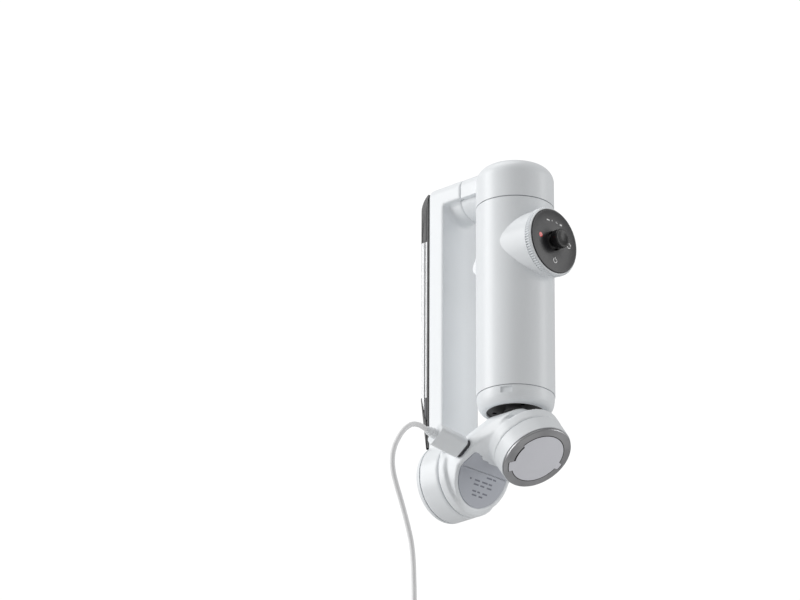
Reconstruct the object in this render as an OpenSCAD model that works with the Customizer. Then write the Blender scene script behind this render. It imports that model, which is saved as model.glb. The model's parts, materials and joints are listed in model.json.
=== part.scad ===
// Folding three-axis phone gimbal, stored folded: the long arm lies behind the handle and the
// roll motor sits under its base. Origin: mouth of the thread in the handle's base. +Z runs up
// the handle, -Y is the side with the control face, +Y the side with the long arm.

/* [Handle] */
// Outer radius of the handle tube
handle_r = 18.2; // [18:0.1:18.4]
// Wall thickness of the handle and of the rotating cap
wall = 1.8; // [1.6:0.1:1.9]
// Height of the seam above the base cap
base_h = 7.8; // [7.4:0.1:8]
// Height of the seam below the rotating cap
seam_z = 100.9; // [100.8:0.1:101.2]
// Height of the top of the rotating cap
cap_top = 121; // [120.6:0.1:121.4]
// Radius of the hole for the screw in the base
thread_r = 3.25; // [3.2:0.01:3.3]

/* [Control face] */
// Height of the middle of the control face
face_z = 78.65; // [78:0.05:79]
// Distance of the control face from the handle's axis
face_y = 24.55; // [24.4:0.05:24.7]
// Radius of the black control face
face_r = 15.3; // [15.1:0.1:15.4]
// Number of ribs round the dial
dial_ribs = 72; // [48:4:96]

/* [Long arm] */
// Height of the fold hinge
hinge_z = 111.5; // [111.3:0.1:111.7]
// Radius of the round neck that carries the fold hinge
neck_r = 9; // [8.8:0.1:9.2]
// Half the width of the long arm
arm_half = 12.3; // [12:0.1:12.6]
// Distance of the arm's front face from the handle's axis
arm_y = 34.6; // [34.4:0.1:34.8]
// Thickness of the arm's white shell
arm_t = 8.9; // [8.7:0.1:9]

/* [Tilt motor and short arm] */
// Depth of the tilt axis below the handle's base
tilt_drop = 24; // [24:0.1:24.3]
// Outer radius of the tilt motor's housing
tilt_r = 18.5; // [18.4:0.1:18.6]
// Distance of the tilt motor's seam from the handle's axis
tilt_y = 32; // [31.9:0.1:32.1]
// Angle of the label face below level, in degrees
label_tilt = 24.46; // [24:0.1:25]

/* [Roll motor] */
// Angle of the roll motor's face below level, in degrees
roll_tilt = 55; // [54.6:0.1:55.4]
// Radius of the roll motor's housing
roll_r = 17.3; // [17.2:0.1:17.4]
// Radius of the steel mount ring
ring_r = 16.9; // [16.6:0.1:17]

/* [Charging cable] */
// Diameter of the cable
cord_d = 2.4; // [2.2:0.1:2.6]

/* [Hidden] */

$fn = 96;
eps = 0.01;             // overshoot of a cutting tool past the face it cuts
gap = 0.15;             // half of a visible seam
run = 0.05;             // running clearance of a shaft in its bore
bore_r = handle_r - wall;
tilt_z = -tilt_drop;
base_r = 17.95;         // outer radius of the base cap at its seam
rim_r = 14.35;          // radius where its rounded foot reaches the bottom
arm_back = arm_y + arm_t;
board_t = 1.2;

// Centre of the roll motor's front, and of the round label face
roll_c = [0, -13.4, -25.2];
label_c = [0, 20.3, -25.4];
collar = 9;             // the roll seam, measured back from the front
collar_end = 14.8;      // where the collar meets the short arm
stub_y = 20.4;          // front of the stub that carries the dial
stick_y = 19.5;         // pivot of the joystick
rocker_y = 21.7;        // pivot of the control face
trigger_pivot = [0, 13.2, 87];

// The cable's route: out of the plug, over an arch, then hanging
route = [[-38.2, 20, -13.1], [-41, 20, -12.4], [-44, 20, -12.2], [-47.5, 20, -13], [-50.5, 20, -14.8],
    [-54, 20, -18.2], [-57, 20, -22.5], [-59.3, 20, -27], [-60.5, 20, -32], [-60.2, 20, -38],
    [-58.2, 20, -44], [-55.5, 20, -50], [-52.5, 20, -57], [-50, 20, -63.5], [-48, 20, -70],
    [-46.8, 20, -78], [-46.3, 20, -87], [-46, 20, -97], [-46, 20, -107], [-46, 20, -117],
    [-46, 20, -127], [-46, 20, -137], [-46, 20, -147], [-46, 20, -156], [-46, 20, -165]];

// Place children with +Z along +Y (away from the control face) or along -Y
module along_y(y, z) translate([0, y, z]) rotate([-90, 0, 0]) children();
module along_front(y, z) translate([0, y, z]) rotate([90, 0, 0]) children();
// Frame of the roll motor (+Z out of its face) and of the label face
module roll_frame() translate(roll_c) rotate([90 + roll_tilt, 0, 0]) children();
module label_frame() translate(label_c) rotate([90 + label_tilt, 0, 0]) children();
// Frame of the phone port: +Z along the plug, out of the side of the short arm
module port_frame() translate([-17, 16.95, -17.45]) rotate([-35, 0, 0]) rotate([0, -76, 0]) children();

module tube(r_out, r_in, h) difference() {
    cylinder(r = r_out, h = h);
    translate([0, 0, -eps]) cylinder(r = r_in, h = h + 2 * eps);
}
// A plate with round corners, centred, its thickness along Z
module round_plate(w, d, h, r) linear_extrude(h) union() {
    square([w - 2 * r, d], center = true);
    square([w, d - 2 * r], center = true);
    for (x = [-1, 1], y = [-1, 1]) translate([x * (w / 2 - r), y * (d / 2 - r)]) circle(r);
}
// Windings of an outrunner motor: a ring with radial teeth
module stator(h, r_hub = 6.4, r_in = 5.2, r_tip = 11.6, teeth = 9) union() {
    tube(r_hub, r_in, h);
    for (i = [0:teeth - 1]) rotate(i * 360 / teeth)
        translate([r_hub - 0.4, -1.2, 0]) cube([r_tip - r_hub, 2.4, h]);
}

// ---- handle ----
module handle_shell() color("white") difference() {
    union() {
        translate([0, 0, base_h + gap]) cylinder(r = handle_r, h = seam_z - base_h - 2 * gap - 0.1);
        along_front(0, face_z) cylinder(r1 = 17.7, r2 = 15.9, h = stub_y);
    }
    translate([0, 0, base_h]) cylinder(r = bore_r, h = seam_z);
    along_front(0, face_z) cylinder(r = 13.9, h = stub_y + eps);
    translate([-5.5, 8, 69.4]) cube([11, 12, 20.6]);
}
module base_cap() color("white") difference() {
    union() {
        translate([0, 0, 5]) tube(bore_r - 0.05, 13.6, 4.8);
        rotate_extrude() polygon(concat([[13.6, base_h - gap], [13.6, 0]],
            [for (a = [0:10:90]) [rim_r + (base_r - rim_r) * sin(a), 6.5 - 6.5 * cos(a)]],
            [[base_r, base_h - gap]]));
    }
    translate([-15.9, -8.6, 5.6]) rotate([0, 0, 28]) translate([-3, -2.8, -1.4]) cube([4, 5.6, 2.8]);
}
module base_plug() color("black") translate([0, 0, 0.9]) difference() {
    cylinder(r = 13.58, h = 5.6);
    translate([0, 0, -eps]) cylinder(r = 5.52, h = 6);
    for (a = [0:120:240]) rotate(a) translate([10, 0, -eps]) cylinder(r = 1.1, h = 1.2);
}
module thread_insert() color("silver") tube(5.5, thread_r, 7.6);
module rod_sleeve() color("dimgray") difference() {
    union() {
        translate([0, 0, 6.5]) cylinder(r = 10.5, h = 74);
        translate([0, 0, 80.1]) cylinder(r = bore_r - 0.1, h = 3.6);
        translate([0, 0, 80.1]) cylinder(r = 7.1, h = 15.9);
    }
    translate([0, 0, 6]) cylinder(r = 5.52, h = 3);
    translate([0, 0, base_h]) cylinder(r = 10.1, h = 72.4);
    translate([0, 0, 80]) cylinder(r = 3.2, h = 10);
    translate([0, 0, 84.2]) cylinder(r = 5.1, h = 12);
    translate([-9, 10, 79]) cube([18, 10, 6]);
    translate([-15, -20, 79]) cube([30, 7.2, 6]);
}
module rod_outer() color("silver") translate([0, 0, base_h]) tube(6.6, 6, 70);
module rod_middle() color("silver") translate([0, 0, base_h]) tube(5.85, 5.3, 69);
module rod_inner() color("silver") translate([0, 0, base_h]) tube(5.15, 4.6, 68);
// One stowed tripod leg: a third of a thin sleeve round the rod
module tripod_leg(turn) color("gainsboro") rotate(turn + 4) rotate_extrude(angle = 112)
    translate([7, base_h]) square([2.8, 62]);
module tripod_leg_a() tripod_leg(0);
module tripod_leg_b() tripod_leg(120);
module tripod_leg_c() tripod_leg(240);
module battery(turn) color("steelblue") rotate(turn - 52) rotate_extrude(angle = 104)
    translate([10.7, 10]) square([5.3, 52]);
module battery_left() battery(180);
module battery_right() battery(0);
module main_board() color("darkgreen") translate([-7.5, -12.6, 12]) cube([15, board_t, 48]);
module board_chips() color("black") union() {
    for (i = [0:3]) translate([-4 + (i % 2) * 2, -14.1, 16 + i * 11]) cube([6, 1.5, 6]);
}

// ---- control face ----
module control_base() color("dimgray") along_front(-16.9, face_z) difference() {
    union() {
        cylinder(r = 13.8, h = 1.6);
        cylinder(r = 12.5, h = 5.4);
    }
    translate([0, 0, -eps]) cylinder(r = 6.8, h = 2);
    translate([0, 0, 1.6]) cylinder(r = 11.3, h = 5);
    translate([0, 0, rocker_y - 16.9]) rotate([0, 90, 0]) translate([0, 0, -13]) cylinder(r = 0.85, h = 26);
}
module control_board() color("darkgreen") along_front(-15.7, face_z) difference() {
    cylinder(r = 12.6, h = board_t);
    translate([0, 0, -eps]) cylinder(r = 6.8, h = 2);
}
module stick_base() color("black") union() {
    translate([-5.2, -15.6, face_z - 5.2]) cube([10.4, 2.6, 10.4]);
    for (x = [-1, 1]) difference() {
        translate([x * 4.6 - 0.6, -20.4, face_z - 1.4]) cube([1.2, 5, 2.8]);
        translate([x * 4.6 - 1, -stick_y, face_z]) rotate([0, 90, 0]) cylinder(r = 0.55, h = 2);
    }
}
module dial() color("white") along_front(-stub_y - 0.2, face_z) difference() {
    union() {
        cylinder(r = 16.15, h = 3.4);
        for (i = [0:dial_ribs - 1]) rotate(i * 360 / dial_ribs)
            translate([15.9, -0.26, 0.2]) cube([0.6, 0.52, 2.7]);
    }
    translate([0, 0, -eps]) cylinder(r = 12.5 + run, h = 2);
    translate([0, 0, 1.4]) cylinder(r = face_r + 0.15, h = 3);
}
module rocker_ring() color("silver") along_front(-rocker_y + 0.7, face_z) union() {
    difference() {
        cylinder(r = 10.6, h = 1.4);
        translate([0, 0, -eps]) cylinder(r = 9, h = 2);
        translate([0, -12, 0.7]) rotate([-90, 0, 0]) cylinder(r = 0.45, h = 24, $fn = 32);
    }
    for (x = [-1, 1]) translate([x * 10.2, 0, 0.7]) rotate([0, 90 * x, 0])
        cylinder(r = 0.8, h = 2, $fn = 32);
}
module control_face() color([0.16, 0.16, 0.17]) union() {
    along_front(-face_y + 1.3, face_z) difference() {
        cylinder(r = face_r, h = 1.3);
        translate([0, 0, -eps]) cylinder(r = 4.4, h = 2);
        translate([-9.4, 0.4, 1.15]) cylinder(r = 1.2, h = 1);
        face_mark_shapes(0.05);
    }
    for (z = [-1, 1]) translate([-1.2, -face_y + 1.2, face_z + z * 7.8 - 0.9]) cube([2.4, 2.6, 1.8]);
    for (z = [-1, 1]) translate([0, -rocker_y, face_z + z * 8.6]) rotate([z < 0 ? 180 : 0, 0, 0])
        cylinder(r = 0.4, h = 1.6, $fn = 32);
}
// Shapes sunk into the control face, in its own frame: X right, Y up
module face_mark_shapes(grow = 0) {
    for (m = [[-4.7, 9.2, 2.2, 0.8], [-1.6, 9.9, 0.6, 0.6], [1.4, 9.9, 0.7, 0.7], [4.6, 9.2, 1.5, 0.9]])
        translate([m[0] - m[2] / 2 - grow, m[1] - m[3] / 2 - grow, 1.15])
            cube([m[2] + 2 * grow, m[3] + 2 * grow, 1]);
    translate([0.4, -9.7, 1.15]) difference() {
        cylinder(r = 1.25 + grow, h = 1);
        translate([0, 0, -eps]) cylinder(r = 0.85 - grow, h = 2);
    }
    translate([9.9, 0.2, 1.15]) difference() {
        cylinder(r = 1.3 + grow, h = 1);
        translate([0, 0, -eps]) cylinder(r = 0.85 - grow, h = 2);
    }
}
module record_light() color("red") along_front(-face_y + 0.14, face_z)
    translate([-9.4, 0.4, 0]) cylinder(r = 1.15, h = 0.2);
module mode_marks() color("white") along_front(-face_y + 1.3, face_z) intersection() {
    face_mark_shapes();
    cylinder(r = 14, h = 1.34);
}
module stick_yoke() color("silver") along_front(-stick_y + 0.5, face_z) union() {
    difference() {
        cylinder(r = 3.6, h = 1);
        translate([0, 0, -eps]) cylinder(r = 2.6, h = 2);
        translate([0, -5, 0.5]) rotate([-90, 0, 0]) cylinder(r = 0.35, h = 10, $fn = 32);
    }
    for (x = [-1, 1]) translate([x * 3.4, 0, 0.5]) rotate([0, 90 * x, 0])
        cylinder(r = 0.45, h = 1.6, $fn = 32);
}
module joystick() color([0.08, 0.08, 0.09]) union() {
    along_front(-17.6, face_z) cylinder(r = 1.7, h = 8.6);
    intersection() {
        translate([0, -stick_y, face_z]) sphere(r = 5.6);
        along_front(-21.9, face_z) cylinder(r = 6, h = 6);
    }
    along_front(-25.9, face_z) difference() {
        union() {
            cylinder(r = 4.5, h = 3.6);
            translate([0, 0, 3.6]) cylinder(r1 = 4.5, r2 = 4, h = 0.5);
        }
        translate([0, 0, 11.4]) sphere(r = 8);
    }
    for (z = [-1, 1]) translate([0, -stick_y, face_z]) rotate([z < 0 ? 180 : 0, 0, 0])
        translate([0, 0, 1.5]) cylinder(r = 0.3, h = 1.7, $fn = 32);
}

// ---- trigger ----
module trigger() color("white") difference() {
    translate([-5.2, 0, 0]) rotate([90, 0, 90]) linear_extrude(10.4) {
        polygon([[12.4, 70.5], [18, 70.8], [20.4, 72.8], [21.7, 74.4], [22.1, 76], [21.7, 77.6],
            [20.6, 79.4], [19.6, 82], [18.6, 85], [17.4, 87.4], [15, 88.4], [11.6, 88.2],
            [11.6, 84.4], [12.4, 83.6]]);
    }
    translate([-6, trigger_pivot[1], trigger_pivot[2]]) rotate([0, 90, 0]) cylinder(r = 1 + run, h = 12);
    translate([-3.4, 10, 72.5]) cube([6.8, 7.5, 10.5]);
}
module trigger_pin() color("silver") translate([-7.2, trigger_pivot[1], trigger_pivot[2]])
    rotate([0, 90, 0]) cylinder(r = 1, h = 14.4);
module trigger_bracket() color("dimgray") union() {
    for (x = [-1, 1]) difference() {
        translate([x * 6.6 - 0.8, 11.3, 72]) cube([1.6, 3.3, 16.4]);
        translate([x * 6.6 - 1, trigger_pivot[1], trigger_pivot[2]]) rotate([0, 90, 0])
            cylinder(r = 1, h = 2);
    }
    translate([-7.4, 10.5, 76]) cube([14.8, 0.8, 7]);
}
module trigger_spring() color("gray") for (x = [-1, 1])
    translate([x * 5.5, trigger_pivot[1], trigger_pivot[2]]) rotate([0, 90, 0])
        rotate_extrude() translate([1.35, 0]) circle(0.2, $fn = 16);

// ---- pan ----
module pan_stator() color([0.72, 0.45, 0.2]) translate([0, 0, 88.6]) stator(8.4, 7.6, 7.1, 12.2);
module pan_bearing() color("silver") translate([0, 0, 84.2]) tube(5.1, 2.5 + run, 3.6);
module pan_cap() color("white") difference() {
    union() {
        rotate_extrude() union() {
            translate([0, seam_z + 0.25]) square([handle_r, cap_top - 7.25 - seam_z]);
            translate([0, cap_top - 8]) square([handle_r - 7, 8]);
            translate([handle_r - 7, cap_top - 7]) circle(7);
        }
        along_y(0, hinge_z) cylinder(r = neck_r, h = 25.9);
        flat_xz(8, 15.2) top_outline(12, 110, 120.5);
    }
    translate([0, 0, seam_z]) cylinder(r = bore_r, h = 12.2);
    along_y(8, hinge_z) cylinder(r = 7, h = 14);
    along_y(8, hinge_z) cylinder(r = 3, h = 20);
    translate([0, 0, 110]) cylinder(r = 2.5, h = 7);
}
module pan_rotor() color("gray") difference() {
    union() {
        translate([0, 0, 88.8]) cylinder(r = 14.7, h = 11.4);
        translate([0, 0, 100.2]) cylinder(r = 6, h = 12.9);
    }
    translate([0, 0, 88.7]) cylinder(r = 12.6, h = 9.6);
    translate([0, 0, 88]) cylinder(r = 2.5, h = 26);
}
module pan_shaft() color("silver") translate([0, 0, 82.4]) cylinder(r = 2.5, h = 33.6);

// ---- fold hinge and long arm ----
module fold_pin() color("silver") along_y(13, hinge_z) union() {
    cylinder(r = 5, h = 1.6);
    cylinder(r = 3, h = 28.6);
}
module fold_washer() color("silver") along_y(arm_y + 4, hinge_z) tube(6, 3 + run, 1.2);
// A slab standing across the hinge, round at the top corners: X across, Y up
module top_outline(half, low, high, r = 5) union() {
    translate([-half, low]) square([2 * half, high - r - low]);
    translate([-half + r, low]) square([2 * (half - r), high - low]);
    for (x = [-1, 1]) translate([x * (half - r), high - r]) circle(r);
}
module flat_xz(y, h) translate([0, y + h, 0]) rotate([90, 0, 0]) linear_extrude(h) children();
module arm_shell() color("white") union() {
    along_y(35, tilt_z) tube(5.9, 5.1, 7);
    arm_casting();
}
module arm_casting() difference() {
    union() {
        flat_xz(23.5, arm_back - 23.5) top_outline(arm_half, 110, 120.5);
        translate([-arm_half, arm_y, tilt_z]) cube([2 * arm_half, arm_t, 112 - tilt_z]);
        along_y(tilt_y + gap, tilt_z) cylinder(r = tilt_r, h = arm_back - tilt_y - gap);
        along_y(26.2, hinge_z) cylinder(r = neck_r, h = 9);
    }
    along_y(23, hinge_z) cylinder(r = neck_r + 0.1, h = 3.2);
    along_y(26, hinge_z) cylinder(r = 3 + run, h = 13);
    along_y(arm_y + 4, hinge_z) cylinder(r = 6.2, h = 6);
    translate([-10.4, arm_y + 2, -4]) cube([20.8, 8, 106]);
    along_y(tilt_y, tilt_z) cylinder(r = 16.6, h = 9.4);
    along_y(tilt_y, tilt_z) cylinder(r = 5.1, h = 14);
    for (x = [-1, 1], z = [2, 96]) translate([x * 11.3, arm_back + eps, z]) rotate([90, 0, 0])
        cylinder(r = 0.5, h = 4);
}
module arm_inlay() color([0.05, 0.05, 0.05]) translate([-10.3, arm_back - 1.4, -3.9])
    cube([20.6, 1.3, 105.8]);
module window_cover() color([0.5, 0.5, 0.52, 0.5]) difference() {
    translate([-11.9, 0, 0]) rotate([90, 0, 90]) linear_extrude(23.8) union() {
        polygon([[arm_back + 0.05, -11], [45, -11], [48.6, 16], [48.6, 110], [arm_back + 0.05, 110]]);
        intersection() {
            translate([arm_back - 4.9, 110]) circle(10);
            translate([arm_back + 0.05, 109]) square([8, 10.5]);
        }
    }
    along_y(arm_back - 1, tilt_z) cylinder(r = tilt_r + 0.2, h = 8);
}
module arm_screws() color("silver") for (x = [-1, 1], z = [2, 96])
    translate([x * 11.3, arm_back, z]) rotate([90, 0, 0]) cylinder(r = 0.5, h = 3.8);
module tilt_back_cap() color("white") along_y(arm_back + 0.05, tilt_z) rotate_extrude() union() {
    square([tilt_r - 3.5, 3.5]);
    intersection() {
        translate([tilt_r - 3.5, 0]) circle(3.5);
        square([tilt_r, 3.5]);
    }
}
module tilt_stator() color([0.72, 0.45, 0.2]) along_y(34.6, tilt_z) stator(6, 7, 5.9);
module tilt_bearing() color("silver") along_y(arm_back - 3.1, tilt_z) tube(5.1, 2.5 + run, 3);

// ---- short arm ----
// The flared root of the roll motor, in the roll frame turned over
module roll_root() roll_frame() rotate([180, 0, 0]) rotate_extrude()
    polygon([[0, 13.5], [17, 13.5], [17, 15], [18.2, 17], [20.2, 18.8], [23, 19.6], [40, 19.6],
        [40, 60], [0, 60]]);
// The label face above the bend: flat across the roll axis, up to the motor's root
module label_band(grow, low, high) roll_frame() translate([0, 0, low]) difference() {
    linear_extrude(high - low) polygon([[-15 - grow, -26.2], [15 + grow, -26.2], [12.3 + grow, -11.5],
        [-12.3 - grow, -11.5]]);
    translate([0, 0, -eps]) cylinder(r = 17.6 - grow, h = 5);
}
// A wedge with flat sides and a round lower end, bounded by the sweep round the tilt axis
module short_arm_body() difference() {
    intersection() {
        union() {
            label_frame() translate([0, 0, -40]) cylinder(r = 17.3, h = 40);
            label_frame() translate([-17.3, 0, -40]) cube([34.6, 44, 60]);
            along_y(27.5, tilt_z) cylinder(r = tilt_r, h = 4.3);
        }
        union() {
            label_frame() translate([-40, -40, -60]) cube([80, 80, 60]);
            roll_root();
        }
        along_y(-10, tilt_z) rotate_extrude() polygon([[0, 0], [23.3, 0], [23.3, 33.5], [20.6, 38.5],
            [tilt_r, 41.8], [0, 41.8]]);
    }
    along_y(-40, hinge_z) cylinder(r = 112.6, h = 80, $fn = 200);
    roll_frame() difference() {
        translate([-25, -30, -60]) cube([50, 65, 45]);
        translate([0, 0, -11.6]) rotate([-74.1, 0, 0]) translate([0, 0, -60]) cylinder(r = 19.2, h = 120);
    }
}
// The lower round of the label face, up to the bend
module label_disc(r, low, h, top) label_frame() translate([0, 0, low]) intersection() {
    cylinder(r = r, h = h);
    translate([-20, -20, -eps]) cube([40, 20 + top, h + 2 * eps]);
}
module short_arm_shell() color("white") union() {
    short_arm_casting();
    roll_frame() translate([0, 0, -14.5]) tube(4.9, 3.9, 9.3);
}
module short_arm_casting() difference() {
    union() {
        short_arm_body();
        roll_frame() translate([0, 0, -collar_end]) cylinder(r = 17.4, h = collar_end - collar - 0.3);
    }
    roll_frame() translate([0, 0, -collar_end + 0.4]) cylinder(r = 15.3, h = collar_end);
    label_disc(15.2, -1, 3, 1.5);
    label_band(0.2, -20.6, -19.3);
    along_y(22, tilt_z) cylinder(r = 2.5, h = 12);
    port_frame() translate([0, 0, -6]) round_plate(3.5, 9.2, 20, 1.7);
}
module label_plate() color("gainsboro") union() {
    label_disc(14.95, -1, 0.9, 1.3);
    label_band(-0.05, -20.6, -19.7);
}
module tilt_rotor() color("gray") along_y(tilt_y - 0.15, tilt_z) difference() {
    cylinder(r = 14.7, h = 9);
    translate([0, 0, 1.6]) cylinder(r = 12.2, h = 9);
    translate([0, 0, -eps]) cylinder(r = 2.5, h = 10);
}
module tilt_shaft() color("silver") along_y(22.2, tilt_z) cylinder(r = 2.5, h = 21);
module roll_stator() color([0.72, 0.45, 0.2]) roll_frame() translate([0, 0, -11]) stator(6, 6, 4.9);
module roll_bearing() color("silver") roll_frame() translate([0, 0, -14.4]) tube(3.9, 2 + run, 3);
module phone_port() color("dimgray") port_frame() translate([0, 0, -5.9]) difference() {
    round_plate(3.4, 9.1, 6, 1.6);
    translate([0, 0, 0.8]) round_plate(2.7, 8.4, 7, 1.3);
}

// ---- charging cable ----
module usb_shell() color("silver") port_frame() translate([0, 0, -4.8]) round_plate(2.5, 8.2, 6.4, 1.2);
module usb_plug() color("white") port_frame() union() {
    translate([0, 0, 1.6]) round_plate(5.9, 10.3, 15.4, 1.9);
    translate([0, 0, 17]) cylinder(r = 2.5, h = 5.2);
}
function unit(v) = v / norm(v);
// Rings swept along the route, each square to the route there
function ring_dir(i) = unit(route[min(i + 1, len(route) - 1)] - route[max(i - 1, 0)]);
module charge_cable() color("whitesmoke") {
    sides = 8;
    n = len(route);
    side_y = [0, 1, 0];
    pts = [for (i = [0:n - 1]) let (d = ring_dir(i), u = unit(side_y - d * (side_y * d)), v = cross(d, u))
        for (k = [0:sides - 1]) route[i] + cord_d / 2 * (cos(k * 360 / sides) * u + sin(k * 360 / sides) * v)];
    walls = [for (i = [0:n - 2], k = [0:sides - 1]) let (m = (k + 1) % sides)
        [i * sides + k, (i + 1) * sides + k, (i + 1) * sides + m, i * sides + m]];
    polyhedron(pts, concat([[for (k = [0:sides - 1]) k]], walls,
        [[for (k = [sides - 1:-1:0]) (n - 1) * sides + k]]), convexity = 8);
}
module phone_plug() color("white") translate(route[len(route) - 1]) union() {
    translate([0, 0, -9]) rotate([0, 0, 90]) round_plate(5.6, 7.6, 9, 2);
    translate([0, 0, -17]) rotate([0, 0, 90]) round_plate(5.6, 7.6, 8.5, 2);
    translate([3, 0, -12.6]) rotate([0, 90, 0]) round_plate(8.8, 5.6, 11, 2.2);
}

// ---- roll head ----
module roll_housing() color("white") roll_frame() difference() {
    translate([0, 0, -collar]) cylinder(r = roll_r, h = collar - 1.5);
    translate([0, 0, -collar - eps]) cylinder(r = 15.2, h = collar - 3.2);
    translate([0, 0, -2.6]) cylinder(r = 13.7, h = 2);
}
module mount_ring() color("silver") roll_frame() translate([0, 0, -1.5]) difference() {
    union() {
        cylinder(r = ring_r, h = 0.8);
        translate([0, 0, 0.8]) cylinder(r1 = ring_r, r2 = ring_r - 0.5, h = 0.7);
    }
    translate([0, 0, -eps]) cylinder(r = 13.6, h = 2);
}
module mount_plate() color("lavender") roll_frame() translate([0, 0, -1.6]) difference() {
    cylinder(r = 13.4, h = 1.6);
    for (a = [20, 140, 260]) rotate(a) translate([12.4, -2.6, 0.5]) cube([3, 5.2, 2]);
}
module mount_magnets() color("gray") roll_frame() translate([0, 0, -2.5]) for (i = [0:9])
    rotate(i * 36) translate([10, 0, 0]) cylinder(r = 2.2, h = 0.9, $fn = 32);
module roll_motor_rotor() color("gray") roll_frame() union() {
    translate([0, 0, -10.4]) tube(14.9, 12.3, 7.15);
    translate([0, 0, -4.42]) tube(14.9, 1.9, 1.2);
    translate([0, 0, -14]) cylinder(r = 2, h = 10.6);
}

handle_shell();
base_cap();
base_plug();
thread_insert();
rod_sleeve();
rod_outer();
rod_middle();
rod_inner();
tripod_leg_a();
tripod_leg_b();
tripod_leg_c();
battery_left();
battery_right();
main_board();
board_chips();
control_base();
control_board();
stick_base();
dial();
rocker_ring();
control_face();
record_light();
mode_marks();
stick_yoke();
joystick();
trigger();
trigger_pin();
trigger_bracket();
trigger_spring();
pan_stator();
pan_bearing();
pan_cap();
pan_rotor();
pan_shaft();
fold_pin();
fold_washer();
arm_shell();
arm_inlay();
window_cover();
arm_screws();
tilt_back_cap();
tilt_stator();
tilt_bearing();
short_arm_shell();
label_plate();
tilt_rotor();
tilt_shaft();
roll_stator();
roll_bearing();
phone_port();
usb_plug();
usb_shell();
charge_cable();
phone_plug();
roll_housing();
mount_ring();
mount_plate();
mount_magnets();
roll_motor_rotor();
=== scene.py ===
"""A folding phone gimbal, stored folded. Lengths are in millimetres until a piece is finished."""
import json
import math

import bmesh
import bpy
from mathutils import Matrix, Vector

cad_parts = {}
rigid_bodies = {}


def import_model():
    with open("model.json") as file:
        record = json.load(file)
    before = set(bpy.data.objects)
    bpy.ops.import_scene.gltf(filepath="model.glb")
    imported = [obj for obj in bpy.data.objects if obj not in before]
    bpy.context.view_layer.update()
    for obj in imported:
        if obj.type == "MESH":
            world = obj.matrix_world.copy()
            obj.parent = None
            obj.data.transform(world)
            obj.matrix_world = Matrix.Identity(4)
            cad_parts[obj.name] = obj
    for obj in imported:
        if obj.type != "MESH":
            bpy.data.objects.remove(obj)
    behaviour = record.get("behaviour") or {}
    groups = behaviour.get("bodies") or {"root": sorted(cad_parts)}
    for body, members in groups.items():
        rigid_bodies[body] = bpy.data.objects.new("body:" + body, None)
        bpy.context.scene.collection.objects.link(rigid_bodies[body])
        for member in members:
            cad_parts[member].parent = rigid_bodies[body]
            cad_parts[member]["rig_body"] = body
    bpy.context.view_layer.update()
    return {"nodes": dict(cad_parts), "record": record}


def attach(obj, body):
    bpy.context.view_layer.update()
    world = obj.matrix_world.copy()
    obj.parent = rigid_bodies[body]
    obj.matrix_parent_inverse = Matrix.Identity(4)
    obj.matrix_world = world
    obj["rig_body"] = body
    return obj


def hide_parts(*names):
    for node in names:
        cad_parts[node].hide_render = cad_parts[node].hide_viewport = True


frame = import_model()

MM = 0.001
RECORD_SLOTS = {row["node"]: row["material_slot"] for row in frame["record"]["subparts"]}
BODY_OF = {node: obj["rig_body"] for node, obj in frame["nodes"].items()}


# ---- camera and cable ----
def add_camera():
    right = Vector((0.6903, -0.7236, 0.0047))
    up = Vector((-0.2706, -0.2522, 0.9291))
    back = Vector((-0.6711, -0.6425, -0.3699))
    data = bpy.data.cameras.new("camera")
    data.lens = 229.82
    data.sensor_width = 36
    data.clip_end = 20
    camera = bpy.data.objects.new("camera", data)
    turn = Matrix((right, up, back)).transposed().to_4x4()
    camera.matrix_world = Matrix.Translation((-1.6197, -1.4772, -0.8168)) @ turn
    bpy.context.scene.collection.objects.link(camera)
    bpy.context.scene.camera = camera


CABLE_D = 2.4
CABLE_Y = 20
CABLE_ROUTE = [(-38.2, -13.1), (-41, -12.4), (-44, -12.2), (-47.5, -13), (-50.5, -14.8), (-54, -18.2),
               (-57, -22.5), (-59.3, -27), (-60.5, -32), (-60.2, -38), (-58.2, -44), (-55.5, -50),
               (-52.5, -57), (-50, -63.5), (-48, -70), (-46.8, -78), (-46.3, -87), (-46, -97),
               (-46, -107), (-46, -117), (-46, -127), (-46, -137), (-46, -147), (-46, -156), (-46, -165)]


def add_cable():
    points = [Vector((x, CABLE_Y, z)) * MM for x, z in CABLE_ROUTE]
    data = bpy.data.curves.new("cable_sheath", "CURVE")
    data.dimensions = "3D"
    data.bevel_depth = CABLE_D / 2 * MM
    data.bevel_resolution = 5
    data.use_fill_caps = True
    data.resolution_u = 6
    line = data.splines.new("BEZIER")
    line.bezier_points.add(len(points) - 1)
    for knot, point in zip(line.bezier_points, points):
        knot.co = point
        knot.handle_left_type = knot.handle_right_type = "AUTO"
    cable = bpy.data.objects.new("cable_sheath", data)
    bpy.context.scene.collection.objects.link(cable)
    length = sum((b - a).length for a, b in zip(points, points[1:]))
    return cable, tuple(points[0]), length


# ---- shader sums ----
class Wire:
    """A value or colour coming out of a node. Sums on it add Math nodes."""

    def __init__(self, paint, socket):
        self.paint = paint
        self.socket = socket

    def math(self, operation, first, second):
        return self.paint.node("ShaderNodeMath", {"operation": operation}, {0: first, 1: second})

    def __add__(self, other):
        return self.math("ADD", self, other)

    def __mul__(self, other):
        return self.math("MULTIPLY", self, other)

    def above(self, limit):
        return self.math("GREATER_THAN", self, limit)

    __radd__ = __add__
    __rmul__ = __mul__


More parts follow.
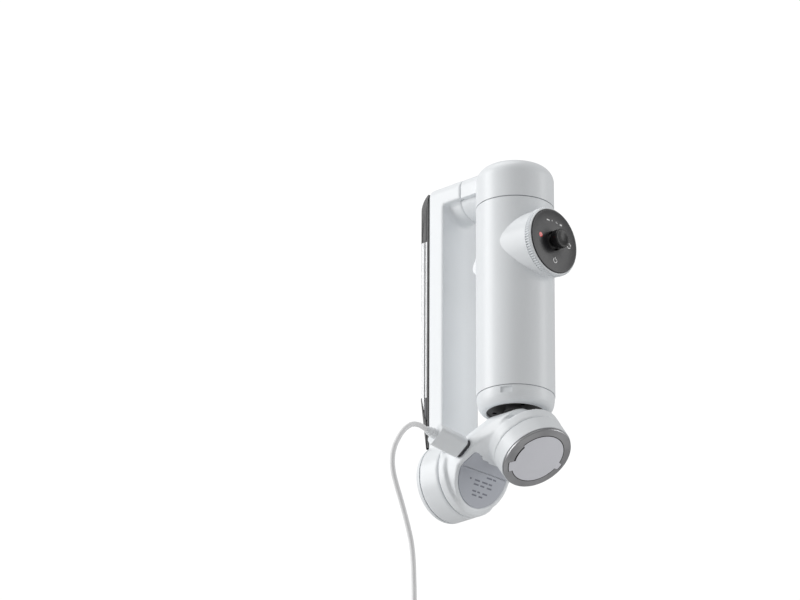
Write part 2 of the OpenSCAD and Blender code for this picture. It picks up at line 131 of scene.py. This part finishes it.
class Paint:
    """One material, built round its Principled shader."""

    def __init__(self, name, colour, roughness, **sockets):
        self.material = bpy.data.materials.new(name)
        self.material.use_nodes = True
        self.tree = self.material.node_tree
        self.shader = self.tree.nodes["Principled BSDF"]
        self.feed("Base Color", (*colour, 1))
        self.feed("Roughness", roughness)
        for socket, value in sockets.items():
            self.feed(socket.replace("_", " "), value)
        coordinates = self.tree.nodes.new("ShaderNodeTexCoord")
        self.place = Wire(self, coordinates.outputs["Object"])

    def node(self, kind, settings, values, out=0):
        node = self.tree.nodes.new(kind)
        for name, value in settings.items():
            setattr(node, name, value)
        for name, value in values.items():
            self.join(node.inputs[name], value)
        return Wire(self, node.outputs[out])

    def join(self, socket, value):
        if isinstance(value, Wire):
            self.tree.links.new(value.socket, socket)
        else:
            socket.default_value = value

    def feed(self, socket, value):
        self.join(self.shader.inputs[socket], value)

    def noise(self, scale, detail=2.0, stretch=(1, 1, 1)):
        """Noise with the given number of cells in a metre, stretched along an axis."""
        spot = self.node("ShaderNodeMapping", {}, {"Vector": self.place, "Scale": stretch})
        return self.node("ShaderNodeTexNoise", {}, {"Vector": spot, "Scale": scale, "Detail": detail})

    def mix(self, factor, first, second):
        values = {0: factor, 6: (*first, 1), 7: (*second, 1)}
        return self.node("ShaderNodeMix", {"data_type": "RGBA"}, values, out=2)

    def bump(self, height, depth_mm):
        values = {"Height": height, "Distance": depth_mm * MM, "Strength": 1.0}
        self.feed("Normal", self.node("ShaderNodeBump", {}, values))


def moulded(name, colour, roughness, grain=0.012, shade=0.04, **sockets):
    """Moulded plastic: fine spark-eroded grain, slightly uneven gloss and tone."""
    paint = Paint(name, colour, roughness, **sockets)
    fine = paint.noise(5200, 3)
    broad = paint.noise(38, 2)
    darker = tuple(c * (1 - shade) for c in colour)
    paint.feed("Base Color", paint.mix(broad * 0.8 + fine * 0.2, darker, colour))
    paint.feed("Roughness", broad * 0.08 + fine * 0.06 + (roughness - 0.07))
    paint.bump(fine, grain)
    return paint


def turned_steel():
    """Machined metal: close turning lines, and darker blotches in the base colour that are a painted
    reflection of dark surroundings.
    """
    paint = Paint("turned_steel", (0.66, 0.66, 0.67), 0.26, Metallic=1.0)
    lines = paint.noise(900, 3, (1, 1, 5))
    reflection_streaks = paint.noise(90, 2)
    # painted reflection: the base colour darkens in broad patches to stand in for dark surroundings mirrored
    # in the steel
    paint.feed("Base Color", paint.mix(reflection_streaks, (0.2, 0.2, 0.21), (0.52, 0.52, 0.53)))
    paint.feed("Roughness", lines * 0.16 + 0.26)
    paint.bump(lines, 0.008)
    return paint


def smoked_gloss():
    """Dark glossy face with faint smears and a fine sparkle."""
    paint = Paint("smoked_gloss", (0.018, 0.018, 0.02), 0.34, Coat_Weight=0.1, Coat_Roughness=0.2)
    smear = paint.noise(120, 4, (1, 1, 0.5))
    fine = paint.noise(6000, 2)
    paint.feed("Base Color", paint.mix(smear, (0.014, 0.014, 0.016), (0.022, 0.022, 0.024)))
    paint.feed("Roughness", smear * 0.05 + 0.32)
    paint.bump(fine, 0.004)
    return paint


def clear_plastic():
    """Clear cover over a pale backing: milky, glossy, with faint scuffs."""
    paint = Paint("clear_plastic", (0.7, 0.71, 0.72), 0.12, Coat_Weight=0.6, Coat_Roughness=0.04)
    scuff = paint.noise(260, 4)
    broad = paint.noise(30, 2, (1, 1, 0.2))
    paint.feed("Base Color", paint.mix(broad, (0.5, 0.51, 0.53), (0.8, 0.81, 0.82)))
    paint.feed("Roughness", scuff * 0.12 + 0.06)
    paint.bump(scuff, 0.01)
    return paint


def copper_wire():
    """Enamelled windings in close turns."""
    paint = Paint("copper_wire", (0.72, 0.36, 0.16), 0.3, Metallic=0.9)
    band = paint.node("ShaderNodeTexWave", {"bands_direction": "Z"},
                      {"Vector": paint.place, "Scale": 700, "Distortion": 0.4, "Detail": 1}, out=1)
    paint.feed("Base Color", paint.mix(band, (0.42, 0.18, 0.07), (0.8, 0.42, 0.2)))
    paint.feed("Roughness", band * 0.15 + 0.25)
    paint.bump(band, 0.12)
    return paint


def circuit_board():
    """Green solder mask with faint traces."""
    paint = Paint("circuit_board", (0.03, 0.16, 0.07), 0.35)
    cells = paint.node("ShaderNodeTexVoronoi", {"distance": "MANHATTAN", "feature": "DISTANCE_TO_EDGE"},
                       {"Vector": paint.place, "Scale": 420})
    trace = cells.above(0.06)
    paint.feed("Base Color", paint.mix(trace, (0.1, 0.3, 0.13), (0.03, 0.15, 0.07)))
    paint.feed("Roughness", trace * 0.12 + 0.28)
    paint.bump(trace, 0.02)
    return paint


def cable_sheath_paint():
    """Soft white sheath with a faint drawn texture."""
    paint = Paint("cable_white", (0.84, 0.84, 0.84), 0.5)
    drawn = paint.noise(1400, 3, (1, 1, 0.2))
    broad = paint.noise(60, 2)
    paint.feed("Base Color", paint.mix(broad, (0.78, 0.78, 0.79), (0.88, 0.88, 0.88)))
    paint.feed("Roughness", drawn * 0.15 + 0.42)
    paint.bump(drawn, 0.02)
    return paint


def make_paints():
    return {
        "white_shell": moulded("white_moulding", (0.84, 0.865, 0.885), 0.34),
        "black_face": smoked_gloss(),
        "black_part": moulded("black_moulding", (0.007, 0.007, 0.008), 0.34, 0.02, 0.3),
        "dark_frame": moulded("dark_moulding", (0.11, 0.11, 0.12), 0.5, 0.02, 0.2),
        "clear_cover": clear_plastic(),
        # label_grey: the label plate is white plastic; this grey base colour is painted shade for its
        # down-facing side
        "label_grey": moulded("label_grey", (0.5, 0.52, 0.57), 0.46, 0.02, 0.08),
        "label_mark": moulded("label_mark", (0.2, 0.21, 0.25), 0.4, 0.02, 0.1),
        "pale_plate": moulded("pale_plate", (0.74, 0.745, 0.79), 0.3, 0.008, 0.05),
        "steel": turned_steel(),
        "winding": copper_wire(),
        "board": circuit_board(),
        "cell": moulded("cell_wrap", (0.12, 0.22, 0.42), 0.3, 0.03, 0.15),
        "red_light": moulded("red_lens", (0.85, 0.02, 0.02), 0.22, 0.004, 0.1, Coat_Weight=0.6),
        "white_mark": moulded("printed_white", (0.95, 0.95, 0.95), 0.5, 0.004, 0.05),
        "leg": moulded("leg_grey", (0.5, 0.5, 0.52), 0.45),
        "cable": cable_sheath_paint(),
    }


# ---- shaping ----
def around_x(degrees):
    return Matrix.Rotation(math.radians(degrees), 4, "X")


ROLL = Matrix.Translation((0, -13.4, -25.2)) @ around_x(145)
LABEL = Matrix.Translation((0, 20.3, -25.4)) @ around_x(114.46)
PORT = (Matrix.Translation((-17, 16.95, -17.45)) @ around_x(-35)
        @ Matrix.Rotation(math.radians(-76), 4, "Y"))
FACE = Matrix.Translation((0, -24.55, 78.65)) @ around_x(90)


def finish_piece(name, bm, slot, body, replaced=(), smooth=True):
    """Turns a bmesh in millimetres into a piece of the object, in metres."""
    bmesh.ops.remove_doubles(bm, verts=bm.verts, dist=0.001)
    bmesh.ops.recalc_face_normals(bm, faces=bm.faces)
    bmesh.ops.scale(bm, vec=(MM, MM, MM), verts=bm.verts)
    mesh = bpy.data.meshes.new(name)
    bm.to_mesh(mesh)
    bm.free()
    mesh.materials.append(paints[slot].material)
    if smooth:
        mesh.polygons.foreach_set("use_smooth", [True] * len(mesh.polygons))
        mesh.set_sharp_from_angle(angle=math.radians(34))
    piece = bpy.data.objects.new(name, mesh)
    bpy.context.scene.collection.objects.link(piece)
    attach(piece, body)
    if replaced:
        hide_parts(*replaced)
    return piece


def lathe(outline, steps=96):
    """A closed outline of (radius, height) turned round the Z axis."""
    bm = bmesh.new()
    verts = [bm.verts.new((r, 0, z)) for r, z in outline]
    edges = [bm.edges.new(pair) for pair in zip(verts, verts[1:] + verts[:1])
             if pair[0].co.x + pair[1].co.x > 0]
    bmesh.ops.spin(bm, geom=verts + edges, cent=(0, 0, 0), axis=(0, 0, 1), angle=math.tau,
                   steps=steps, use_merge=True)
    bmesh.ops.remove_doubles(bm, verts=bm.verts, dist=0.0001)
    return bm


def arc(cx, cy, r, start, end, count=6):
    """Points of an arc, from one angle to another in degrees."""
    angles = [math.radians(start + (end - start) * i / count) for i in range(count + 1)]
    return [(cx + r * math.cos(a), cy + r * math.sin(a)) for a in angles]


def block(x, y, z, corner, segments, rounded):
    """A box between three (low, high) pairs. The edges that rounded() picks get a round corner."""
    bm = bmesh.new()
    bmesh.ops.create_cube(bm, size=1)
    size = [high - low for low, high in (x, y, z)]
    centre = [(high + low) / 2 for low, high in (x, y, z)]
    bmesh.ops.scale(bm, vec=size, verts=bm.verts)
    bmesh.ops.translate(bm, vec=centre, verts=bm.verts)
    bmesh.ops.bevel(bm, geom=[e for e in bm.edges if rounded(e)], offset=corner, segments=segments,
                    affect="EDGES", profile=0.5, material=-1, clamp_overlap=True)
    return bm


def soften(node, voxel, passes, name):
    """The moulded form of a CAD shell: the same walls with their edges rounded."""
    source = frame["nodes"][node]
    bm = bmesh.new()
    bm.from_mesh(source.data)
    bmesh.ops.remove_doubles(bm, verts=bm.verts, dist=1e-6)
    mesh = bpy.data.meshes.new(name + "_rough")
    bm.to_mesh(mesh)
    bm.free()
    rough = bpy.data.objects.new(name + "_rough", mesh)
    bpy.context.scene.collection.objects.link(rough)
    remesh = rough.modifiers.new("remesh", "REMESH")
    remesh.mode = "VOXEL"
    remesh.voxel_size = voxel * MM
    shaped = rough.evaluated_get(bpy.context.evaluated_depsgraph_get())
    bm = bmesh.new()
    bm.from_mesh(shaped.to_mesh())
    bpy.data.objects.remove(rough)
    for _ in range(passes):
        bmesh.ops.smooth_vert(bm, verts=bm.verts, factor=0.5, use_axis_x=True, use_axis_y=True,
                              use_axis_z=True)
    bmesh.ops.scale(bm, vec=(1 / MM,) * 3, verts=bm.verts)
    return finish_piece(name, bm, RECORD_SLOTS[node], BODY_OF[node], [node])


# ---- pieces ----
def slab(points, low, high, edge=0.0):
    """A flat outline given height along Z, with its upper edge rounded."""
    bm = bmesh.new()
    face = bm.faces.new([bm.verts.new((x, y, low)) for x, y in points])
    grown = bmesh.ops.extrude_face_region(bm, geom=[face])["geom"]
    top = [part for part in grown if isinstance(part, bmesh.types.BMVert)]
    bmesh.ops.translate(bm, vec=(0, 0, high - low), verts=top)
    if edge:
        rim = [e for e in bm.edges if all(abs(v.co.z - high) < 1e-6 for v in e.verts)]
        bmesh.ops.bevel(bm, geom=rim, offset=edge, segments=2, affect="EDGES", profile=0.5,
                        material=-1)
    return bm


def put_together(meshes):
    """Several bmeshes as one."""
    whole = bmesh.new()
    for bm in meshes:
        part = bpy.data.meshes.new("part")
        bm.to_mesh(part)
        bm.free()
        whole.from_mesh(part)
        bpy.data.meshes.remove(part)
    return whole


PLATE_R = 12.9
PLATE_STEPS = [(-152, -130, 1.7), (-7, 6, 1.9), (165, 207, -1.3)]    # from, to, and how far out


def plate_outline(grow):
    """The mount plate's stepped edge: round, with bayonet lugs out and a step in."""
    points = []
    for degree in range(-180, 180, 2):
        out = sum(step for start, end, step in PLATE_STEPS
                  if start <= degree <= end or start <= degree + 360 <= end)
        reach = PLATE_R + out + grow
        points.append((reach * math.cos(math.radians(degree)), reach * math.sin(math.radians(degree))))
    return points


def add_plate_and_ring():
    """The steel ring and the stepped pale plate on the roll motor, with a black band round the plate as
    painted shade of the gap.
    """
    ring = lathe([(12.2, -1.5), (16.9, -1.5), (16.9, -0.75), *arc(16.3, -0.6, 0.6, 0, 90),
                  (12.4, 0), (12.2, -0.2)], 144)
    bmesh.ops.transform(ring, matrix=ROLL, verts=ring.verts)
    finish_piece("ring_turned", ring, "steel", "roll_head", ["mount_ring"])
    # painted shade: a black band just wider than the plate stands in for the shadowed gap between plate and
    # ring
    gap_shade_slab = slab(plate_outline(0.42), -1.0, 0.03)
    bmesh.ops.transform(gap_shade_slab, matrix=ROLL, verts=gap_shade_slab.verts)
    finish_piece("plate_gap_shade", gap_shade_slab, "black_part", "roll_head")
    plate = slab(plate_outline(0), -1.5, 0.1, 0.08)
    bmesh.ops.transform(plate, matrix=ROLL, verts=plate.verts)
    finish_piece("plate_stepped", plate, "pale_plate", "roll_head", ["mount_plate"])


def add_dial():
    """The knurled ring round the control face."""
    ribs = 84
    dial = lathe([(12.55, 0), (15.7, 0), (16.0, 0.25), (16.0, 0.45), (16.0, 2.5), (16.0, 2.7),
                  (15.9, 3.2), (15.7, 3.4), (15.45, 3.4), (15.45, 1.4), (12.55, 1.4)], ribs * 4)
    for vert in dial.verts:
        radius = math.hypot(vert.co.x, vert.co.y)
        if radius > 15.95 and 0.3 < vert.co.z < 2.6:
            step = round(math.atan2(vert.co.y, vert.co.x) / math.tau * ribs * 4) % 4
            reach = 16.45 if step in (0, 1) else 15.5
            vert.co.x *= reach / radius
            vert.co.y *= reach / radius
    spot = Matrix.Translation((0, -20.6, 78.65)) @ around_x(90)
    bmesh.ops.transform(dial, matrix=spot, verts=dial.verts)
    finish_piece("dial_knurled", dial, "white_shell", "dial", ["dial"])


def add_face():
    """The dark control face with a soft rim, and the marks printed on it."""
    disc = lathe([(4.4, -1.3), (15.0, -1.3), (15.3, -1.0), (15.3, -0.3), *arc(15.05, -0.25, 0.25, 0, 90, 4),
                  (14.75, -0.06), (14.5, 0), (4.9, 0), *arc(4.9, -0.5, 0.5, 90, 180, 4)], 128)
    bmesh.ops.transform(disc, matrix=FACE, verts=disc.verts)
    finish_piece("face_gloss", disc, "black_face", "face", ["control_face"])

    def stroke(cx, cy, r, width, start, end):
        count = max(4, int(abs(end - start) / 15))
        outer = arc(cx, cy, r + width / 2, start, end, count)
        return slab(outer + arc(cx, cy, r - width / 2, end, start, count), 0, 0.04)

    def bar(cx, cy, width, height):
        return slab([(cx - width / 2, cy - height / 2), (cx + width / 2, cy - height / 2),
                     (cx + width / 2, cy + height / 2), (cx - width / 2, cy + height / 2)], 0, 0.04)

    def arrow(cx, cy, size, turn):
        return slab(arc(cx, cy, size, turn, turn + 240, 2), 0, 0.045)

    swap_x, swap_y = 9.8, 0.4
    marks = [bar(-4.3, 9.2, 2.0, 0.55), bar(-1.6, 9.6, 0.45, 0.5), bar(1.2, 9.6, 0.45, 0.5),
             bar(1.8, 9.2, 0.5, 0.4), bar(4.4, 9.1, 1.5, 0.75),
             stroke(0.4, -9.6, 1.15, 0.32, 130, 410), bar(0.4, -8.6, 0.32, 1.2),
             stroke(swap_x, swap_y, 1.2, 0.36, 20, 150), stroke(swap_x, swap_y, 1.2, 0.36, 200, 330),
             arrow(swap_x + 1.15, swap_y + 0.35, 0.55, -90), arrow(swap_x - 1.15, swap_y - 0.35, 0.55, 90)]
    printed = put_together(marks)
    bmesh.ops.transform(printed, matrix=FACE, verts=printed.verts)
    finish_piece("face_marks", printed, "white_mark", "face", ["mode_marks"], smooth=False)


def add_stick():
    """The thumb stick: a dished cap over a dome that fills the hole in the face."""
    cap = [(0, 1.1), (3.6, 1.1), (4.3, 1.5), (4.5, 2.2), (4.5, 4.3), *arc(4.0, 4.85, 0.5, 0, 90, 4),
           (3.5, 5.3), (2.8, 5.08), (1.6, 4.75), (0, 4.62)]
    dome = [(0, -5), (5.2, -5), *arc(0, -5.05, 5.6, 22, 60, 5), (1.7, 0.4), (1.7, 1.5), (0, 1.5)]
    stick = put_together([lathe(cap, 72), lathe(dome, 72)])
    bmesh.ops.transform(stick, matrix=FACE, verts=stick.verts)
    finish_piece("stick_cap", stick, "black_part", "stick", ["joystick"])


ARM_BACK = 43.55
WINDOW_HALF = 12.1


def window_layer(outline):
    """A layer of the arm's back, from its outline in (Y, Z), right across the arm."""
    layer = slab(outline, -WINDOW_HALF, WINDOW_HALF)
    turn = Matrix(((0, 0, 1, 0), (1, 0, 0, 0), (0, 1, 0, 0), (0, 0, 0, 1)))
    bmesh.ops.transform(layer, matrix=turn, verts=layer.verts)
    long_edges = [e for e in layer.edges if abs(e.verts[0].co.x - e.verts[1].co.x) < 1e-6
                  and abs(e.verts[0].co.z - e.verts[1].co.z) > 4]
    bmesh.ops.bevel(layer, geom=long_edges, offset=0.12, segments=2, affect="EDGES", profile=0.5,
                    material=-1)
    return layer


def add_window():
    """The arm's back: black plate, pale strip, and a clear wall with black ends."""
    top = arc(38.9, 109.6, 9.6, 0, 58, 8)
    black = [window_layer([(ARM_BACK, -9), (44.4, -9), (44.8, 14), (44.8, 112), (44.2, 114),
                           (ARM_BACK, 115.5)]),
             window_layer([(44.75, -9.5), (45.1, -9.5), (48.45, 15), (48.45, 16.5), (47.9, 16.5), (44.9, 4)]),
             window_layer([(44.75, 94), (48.5, 94), *top, (ARM_BACK, 117.4), (44.75, 112)]),
             window_layer([(45.9, 14), (46.4, 14), (46.4, 95), (45.9, 95)])]
    finish_piece("window_black", put_together(black), "black_part", "arm", ["window_cover"])
    low = window_layer([(44.8, 5), (46.2, 6), (46.4, 16), (44.8, 16)])
    finish_piece("window_low", low, "dark_frame", "arm")
    strip = window_layer([(44.75, 16), (45.9, 16), (45.9, 94), (44.75, 94)])
    finish_piece("window_strip", strip, "clear_cover", "arm")
    wall = window_layer([(46.4, 9), (46.7, 7.5), (48.0, 16), (48.5, 17), (48.5, 94), (46.4, 94)])
    finish_piece("window_wall", wall, "clear_cover", "arm")


def add_label_marks():
    """Plain raised bars on the label plate, whose grey colour is painted shade, which stand for small print.
    """
    rows = [(-3.2, [(-7.5, 0.9), (-4.2, 3.2), (0.6, 3.6), (5, 2.2)]),
            (-5.1, [(-4.2, 3.2), (0.2, 2.6), (4.6, 3)]),
            (-8.2, [(-3.8, 2.4), (-0.4, 1.6), (3, 3)]), (-10, [(-3.4, 3), (1.2, 2.4)]),
            (-0.6, [(2.6, 3.4), (6.8, 2)])]
    tall = 0.75
    bars = [slab([(x, y), (x + w, y), (x + w, y + tall), (x, y + tall)], -0.12, 0.0, 0.05)
            for y, row in rows for x, w in row]
    marks = put_together(bars)
    bmesh.ops.transform(marks, matrix=LABEL, verts=marks.verts)
    finish_piece("label_marks", marks, "label_mark", "tilt_arm", smooth=False)


def add_plug():
    """The moulded plug in the short arm and its strain relief."""
    def rise(edge):
        return abs(edge.verts[0].co.z - edge.verts[1].co.z)

    body = block((-2.95, 2.95), (-5.15, 5.15), (1.6, 17), 1.9, 6, lambda edge: rise(edge) > 5)
    bmesh.ops.bevel(body, geom=[edge for edge in body.edges if rise(edge) < 0.01],
                    offset=0.5, segments=3, affect="EDGES", profile=0.5, material=-1)
    bmesh.ops.transform(body, matrix=PORT, verts=body.verts)
    plug = finish_piece("plug_moulding", body, "white_shell", "tilt_arm", ["usb_plug"])
    outline = [(0, 16.9), (2.45, 16.9), (2.45, 17.6), (2.1, 17.8), (2.1, 18.3), (2.35, 18.5), (2.3, 19.2),
               (1.95, 19.4), (1.95, 19.9), (2.1, 20.1), (2.0, 20.8), (1.7, 21), (1.7, 21.7),
               (1.4, 22.15), (0, 22.15)]
    relief = lathe(outline, 48)
    bmesh.ops.transform(relief, matrix=PORT, verts=relief.verts)
    return plug, finish_piece("plug_relief", relief, "white_shell", "tilt_arm")


def paint_cad():
    """Every CAD node that still shows gets its slot's finish."""
    for node, obj in frame["nodes"].items():
        obj.data.materials.clear()
        obj.data.materials.append(paints[RECORD_SLOTS[node]].material)


# ---- light and floor ----
WORLD_LIGHT = 0.44
BACKDROP = 1.05
FLOOR_Z = -1.25
LAMP_AIM = (0, 0, 0.04)
LAMPS = [("left", (-1.3, 1.15, 0.45), (0.9, 1.6), 20), ("right", (1.15, -1.4, 0.2), (0.7, 1.5), 9),
         ("above", (-0.3, 0.3, 1.7), (1.2, 1.2), 9)]    # name, place, size and watts


def add_light(name, spot, size, power):
    data = bpy.data.lights.new(name, "AREA")
    data.shape = "RECTANGLE"
    data.size, data.size_y = size
    data.energy = power
    lamp = bpy.data.objects.new(name, data)
    spot = Vector(spot)
    lamp.location = spot
    lamp.rotation_euler = (Vector(LAMP_AIM) - spot).to_track_quat("-Z", "Y").to_euler()
    bpy.context.scene.collection.objects.link(lamp)


def add_studio():
    world = bpy.data.worlds.new("studio")
    bpy.context.scene.world = world
    world.use_nodes = True
    tree = world.node_tree
    soft = tree.nodes["Background"]
    soft.inputs["Color"].default_value = (1, 1, 1, 1)
    soft.inputs["Strength"].default_value = WORLD_LIGHT
    plain = tree.nodes.new("ShaderNodeBackground")
    plain.inputs["Color"].default_value = (1, 1, 1, 1)
    plain.inputs["Strength"].default_value = BACKDROP
    chooser = tree.nodes.new("ShaderNodeMixShader")
    rays = tree.nodes.new("ShaderNodeLightPath")
    tree.links.new(rays.outputs["Is Camera Ray"], chooser.inputs[0])
    tree.links.new(soft.outputs[0], chooser.inputs[1])
    tree.links.new(plain.outputs[0], chooser.inputs[2])
    tree.links.new(chooser.outputs[0], tree.nodes["World Output"].inputs["Surface"])
    bm = bmesh.new()
    bmesh.ops.create_grid(bm, x_segments=2, y_segments=2, size=6)
    bmesh.ops.translate(bm, vec=(0, 0, FLOOR_Z), verts=bm.verts)
    mesh = bpy.data.meshes.new("floor")
    bm.to_mesh(mesh)
    bm.free()
    mesh.materials.append(moulded("floor_paper", (0.85, 0.85, 0.85), 0.8).material)
    floor = bpy.data.objects.new("floor", mesh)
    bpy.context.scene.collection.objects.link(floor)
    for lamp in LAMPS:
        add_light(*lamp)
    scene = bpy.context.scene
    scene.view_settings.view_transform = "Standard"
    scene.view_settings.look = "None"


add_camera()
cable, cable_exit, cable_length = add_cable()
paints = make_paints()
paint_cad()
cable.data.materials.append(paints["cable"].material)
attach(cable, "tilt_arm")
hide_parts("charge_cable")
plug, relief = add_plug()
soften("short_arm_shell", 0.5, 5, "short_arm_moulding")
soften("arm_shell", 0.6, 4, "arm_moulding")
add_plate_and_ring()
add_dial()
add_face()
add_stick()
add_window()
add_label_marks()
add_studio()
